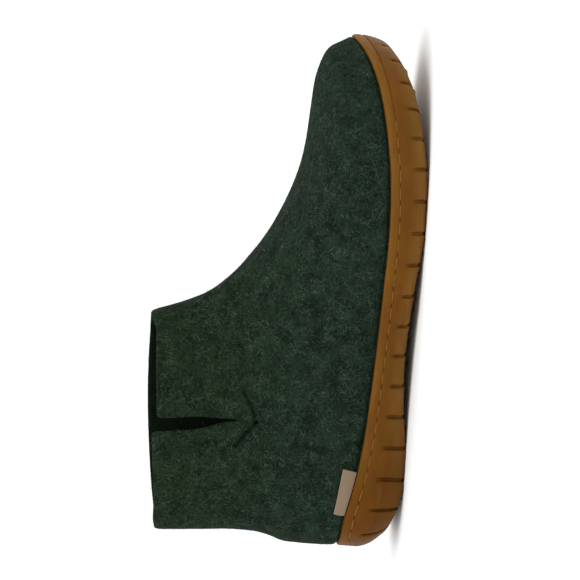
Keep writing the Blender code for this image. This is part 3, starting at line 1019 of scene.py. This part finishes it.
def standing_hairs(piece, name, count, mean_length, draw):
    """Short hairs that lean off the felt, joined in one mesh of two tapered faces a hair."""
    spots, normals = felt_samples(piece, count, draw)
    sideways = draw.normal(size=(count, 3))
    sideways -= (sideways * normals).sum(1)[:, None] * normals
    sideways /= np.linalg.norm(sideways, axis=1)[:, None]
    across = np.cross(normals, sideways)
    length = (mean_length * draw.uniform(*HAIR_LENGTHS, count))[:, None]
    lean = draw.uniform(*HAIR_LEANS, count)[:, None]
    half = HAIR_HALF * MM

    def reach(up, aside):
        return spots + length * (up * normals + aside * lean * sideways)

    middle = reach(*HAIR_MIDDLE)
    tip = reach(*HAIR_TIP)
    wide = across * half
    points = np.stack([spots - wide, spots + wide, middle - wide, middle + wide, tip], axis=1).reshape(-1, 3)
    base = np.arange(count) * 5
    lower = np.stack([base, base + 1, base + 3, base + 2], axis=1)
    upper = np.stack([base + 2, base + 3, base + 4], axis=1)
    return piece_from(name, points.tolist(), lower.tolist() + upper.tolist())


class FELTBOOT_OT_fibres(bpy.types.Operator):
    """Lay pale and dark wool fibres and a light fuzz on the felt"""

    bl_idname = "felt_boot.fibres"
    bl_label = "Felt fibres"

    def execute(self, context):
        felt = context.scene.felt_boot.felt
        upper = bpy.data.objects["felt_upper"]
        draw = np.random.default_rng(SEED)
        pale = lying_fibres(upper, "pale_fibres", felt.pale_count, felt.fibre_length, felt.fibre_width, draw)
        dress(pale, fibre_material("pale wool fibre", felt.pale))
        dark = lying_fibres(upper, "dark_fibres", felt.dark_count, felt.fibre_length, felt.fibre_width, draw)
        dress(dark, fibre_material("dark wool fibre", felt.black))
        fuzz = standing_hairs(upper, "felt_fuzz", felt.fuzz_count, felt.fuzz_length, draw)
        dress(fuzz, fibre_material("wool fuzz", felt.green))
        return {"FINISHED"}


class FELTBOOT_OT_outsole(bpy.types.Operator):
    """Model the rubber cup sole from its solid, with moulded edges and a height map for its colours"""

    bl_idname = "felt_boot.outsole"
    bl_label = "Rubber outsole"

    def execute(self, context):
        rubber = context.scene.felt_boot.rubber
        piece = copy_of_node("outsole", "rubber_outsole")
        crease_sharp_edges(piece, rubber.hold)
        round_off(piece, CAD_BOX[1][2], RUBBER_REACH * MM)
        points = points_of(piece)
        points[:, 2] = np.maximum(points[:, 2], CAD_BOX[0][2])
        set_points(piece, points)
        stations = points[:, 0] / MM - HEEL_BACK
        low = column_at("ground", stations)
        high = column_at("rim", stations)
        lugs = column_at("lug", stations)
        mark(piece, "side_height", np.clip((points[:, 2] / MM - low) / (high - low), 0.0, 1.0))
        mark(piece, "over_lugs", (points[:, 2] / MM - low - lugs) / lugs)
        dress(piece, rubber_material("honey natural rubber", rubber), "outsole")
        return {"FINISHED"}


def one_stitch(stitch):
    """A single thread stitch along +X at the origin, its ends bent down into the needle holes."""
    bpy.ops.object.select_all(action="DESELECT")
    bpy.ops.mesh.primitive_cylinder_add(
        vertices=8,
        radius=0.5 * stitch.thick,
        depth=stitch.seen,
        end_fill_type="NGON",
        rotation=(0.0, math.radians(90.0), 0.0),
    )
    piece = bpy.context.object
    piece.name = "one_stitch"
    bpy.ops.object.transform_apply(location=True, rotation=True, scale=True)
    bpy.ops.object.mode_set(mode="EDIT")
    for share in STITCH_CUTS:
        bpy.ops.mesh.select_all(action="SELECT")
        bpy.ops.mesh.bisect(plane_co=(share * stitch.seen, 0.0, 0.0), plane_no=(1.0, 0.0, 0.0))
    bpy.ops.object.mode_set(mode="OBJECT")
    points = points_of(piece)
    ends = np.clip((np.abs(points[:, 0]) / stitch.seen - STITCH_STRAIGHT) / STITCH_BEND, 0.0, 1.0)
    points[:, 1:] *= (1.0 - STITCH_THIN * ends)[:, None]
    points[:, 2] -= STITCH_DIP * stitch.thick * ends ** 1.5
    set_points(piece, points)
    return piece


class FELTBOOT_OT_stitches(bpy.types.Operator):
    """Sew the channel of the sole with thread stitches"""

    bl_idname = "felt_boot.stitches"
    bl_label = "Channel stitches"

    def execute(self, context):
        stitch = context.scene.felt_boot.stitch
        model = one_stitch(stitch)
        shape = points_of(model)
        faces = [tuple(p.vertices) for p in model.data.polygons]
        sink = CHANNEL_DEPTH * MM - STITCH_SEAT * stitch.thick
        points = []
        joined = []
        for spot, along, out in along_loop(channel_path(), stitch.pitch):
            up = out.cross(along)
            turn = Matrix((along, up, out)).transposed()
            first = len(points)
            for p in shape:
                points.append(tuple(spot - out * sink + turn @ Vector(p)))
            joined += [tuple(first + v for v in face) for face in faces]
        piece = piece_from("channel_stitches", points, joined)
        bpy.data.objects.remove(model, do_unlink=True)
        activate(piece)
        bpy.ops.object.mode_set(mode="EDIT")
        bpy.ops.mesh.select_all(action="SELECT")
        bpy.ops.mesh.normals_make_consistent(inside=False)
        bpy.ops.object.mode_set(mode="OBJECT")
        dress(piece, thread_material("waxed linen thread", stitch.thread), degrees=70.0)
        self.sink_holes(stitch)
        return {"FINISHED"}

    def sink_holes(self, stitch, corners=10):
        """Painted shade between the stitches: small dark ovals just over the bottom of the channel, where
        the needle holes lie in shade.
        """
        turns = np.arange(corners) * 2.0 * math.pi / corners
        points = []
        for spot, along, out in along_loop(channel_path(), stitch.pitch, start=0.0):
            up = out.cross(along)
            middle = spot - out * (CHANNEL_DEPTH - HOLE_LIFT) * MM
            for turn in turns:
                sideways = along * math.cos(turn) * 0.5 * stitch.hole_length
                points.append(middle + sideways + up * math.sin(turn) * 0.5 * stitch.hole_height)
        faces = np.arange(len(points)).reshape(-1, corners)
        # The dark ovals are painted shade, not cut holes
        piece = piece_from("needle_hole_shade", np.array(points).tolist(), faces.tolist())
        dress(piece, thread_material("shadowed rubber", stitch.hole))


class FELTBOOT_OT_insole(bpy.types.Operator):
    """Model the felt insole from its solid"""

    bl_idname = "felt_boot.insole"
    bl_label = "Felt insole"

    def execute(self, context):
        settings = context.scene.felt_boot
        piece = copy_of_node("insole", "felt_insole")
        bevel_edges(piece, 2.0 * settings.trim.edge)
        felt = settings.felt
        lining = settings.trim.insole
        surface = felt_material("pressed insole felt", felt.deep, lining, lining, felt.pale, felt.black)
        dress(piece, surface, "insole")
        return {"FINISHED"}


class FELTBOOT_OT_tab(bpy.types.Operator):
    """Model the bare leather tab from its solid"""

    bl_idname = "felt_boot.tab"
    bl_label = "Label tab"

    def execute(self, context):
        trim = context.scene.felt_boot.trim
        piece = copy_of_node("tab", "leather_tab")
        bevel_edges(piece, trim.edge)
        normals = np.abs(normals_of(piece))
        turned = np.maximum(normals[:, 2], normals[:, 0])
        mark(piece, "cut_edge", np.clip(CUT_GAIN * turned - CUT_FROM, 0.0, 1.0))
        surface = leather_material("undyed leather", trim.leather, trim.leather_edge)
        dress(piece, surface, "tab")
        return {"FINISHED"}


class FELTBOOT_OT_stage(bpy.types.Operator):
    """Set up the pale floor, the soft studio light and the camera"""

    bl_idname = "felt_boot.stage"
    bl_label = "Studio"

    def execute(self, context):
        stage = context.scene.felt_boot.stage
        self.lay_floor(stage)
        self.hang_lights(context, stage)
        self.place_camera(context, stage)
        context.scene.view_settings.view_transform = "Standard"
        return {"FINISHED"}

    def lay_floor(self, stage):
        """A wide pale floor, as bright as the surround, so no horizon shows."""
        bpy.ops.object.select_all(action="DESELECT")
        bpy.ops.mesh.primitive_grid_add(x_subdivisions=8, y_subdivisions=8, size=FLOOR_SIZE)
        floor = bpy.context.object
        floor.name = "studio_floor"
        made, tree, shader = new_material("matt painted floor")
        place = add_node(tree, "ShaderNodeTexCoord").outputs["Object"]
        tone = add_node(
            tree, "ShaderNodeTexNoise", {"Vector": place, "Scale": per_metre(900.0), "Detail": 1.0}
        )
        dim = tuple(0.98 * c for c in stage.floor)
        mixed = add_node(
            tree,
            "ShaderNodeMix",
            {"Factor": tone.outputs["Fac"], "A": (*dim, 1.0), "B": (*stage.floor, 1.0)},
            data_type="RGBA",
        )
        tree.links.new(mixed.outputs["Result"], shader.inputs["Base Color"])
        shader.inputs["Roughness"].default_value = 0.9
        shader.inputs["Specular IOR Level"].default_value = 0.1
        floor.data.materials.append(made)
        bpy.ops.object.shade_smooth()

    def hang_lights(self, context, stage):
        """An even white surround and a wide light overhead."""
        world = bpy.data.worlds.new("white surround")
        world.use_nodes = True
        world.node_tree.nodes["Background"].inputs["Color"].default_value = (1.0, 1.0, 1.0, 1.0)
        world.node_tree.nodes["Background"].inputs["Strength"].default_value = stage.sky
        context.scene.world = world
        place = Vector(LIGHT_AT)
        bpy.ops.object.select_all(action="DESELECT")
        bpy.ops.object.light_add(type="AREA", location=place)
        lamp = context.object
        lamp.name = "top_light"
        lamp.data.energy = stage.top_power
        lamp.data.size = LIGHT_SIZE
        lamp.rotation_euler = (Vector(LIGHT_AIM) - place).to_track_quat("-Z", "Y").to_euler()

    def place_camera(self, context, stage):
        """The camera looks square at the outer side with the toe up in the picture."""
        eye = Vector(EYE)
        back = (eye - Vector(AIM)).normalized()
        right = Vector(UP).cross(back).normalized()
        turn = Matrix((right, back.cross(right), back)).transposed().to_4x4()
        bpy.ops.object.select_all(action="DESELECT")
        bpy.ops.object.camera_add()
        camera = context.object
        camera.name = "camera"
        camera.matrix_world = Matrix.Translation(eye) @ turn
        camera.data.lens = stage.lens
        camera.data.sensor_width = 36.0
        camera.data.clip_end = 50.0
        context.scene.camera = camera


class FELTBOOT_PT_looks(bpy.types.Panel):
    """Lists the steps that dress the boot"""

    bl_label = "Felt boot"
    bl_idname = "FELTBOOT_PT_looks"
    bl_space_type = "VIEW_3D"
    bl_region_type = "UI"
    bl_category = "Felt boot"

    def draw(self, context):
        column = self.layout.column(align=True)
        for operator in OPERATORS:
            column.operator(operator.bl_idname)


SETTINGS = (FeltSettings, RubberSettings, StitchSettings, TrimSettings, StageSettings, BootSettings)
OPERATORS = (
    FELTBOOT_OT_upper,
    FELTBOOT_OT_fibres,
    FELTBOOT_OT_outsole,
    FELTBOOT_OT_stitches,
    FELTBOOT_OT_insole,
    FELTBOOT_OT_tab,
    FELTBOOT_OT_stage,
)


def register():
    for made in SETTINGS + OPERATORS + (FELTBOOT_PT_looks,):
        bpy.utils.register_class(made)
    bpy.types.Scene.felt_boot = bpy.props.PointerProperty(type=BootSettings)


def unregister():
    del bpy.types.Scene.felt_boot
    for made in reversed(SETTINGS + OPERATORS + (FELTBOOT_PT_looks,)):
        bpy.utils.unregister_class(made)


def main():
    register()
    bpy.ops.felt_boot.upper()
    bpy.ops.felt_boot.fibres()
    bpy.ops.felt_boot.outsole()
    bpy.ops.felt_boot.stitches()
    bpy.ops.felt_boot.insole()
    bpy.ops.felt_boot.tab()
    bpy.ops.felt_boot.stage()


if __name__ == "__main__":
    main()
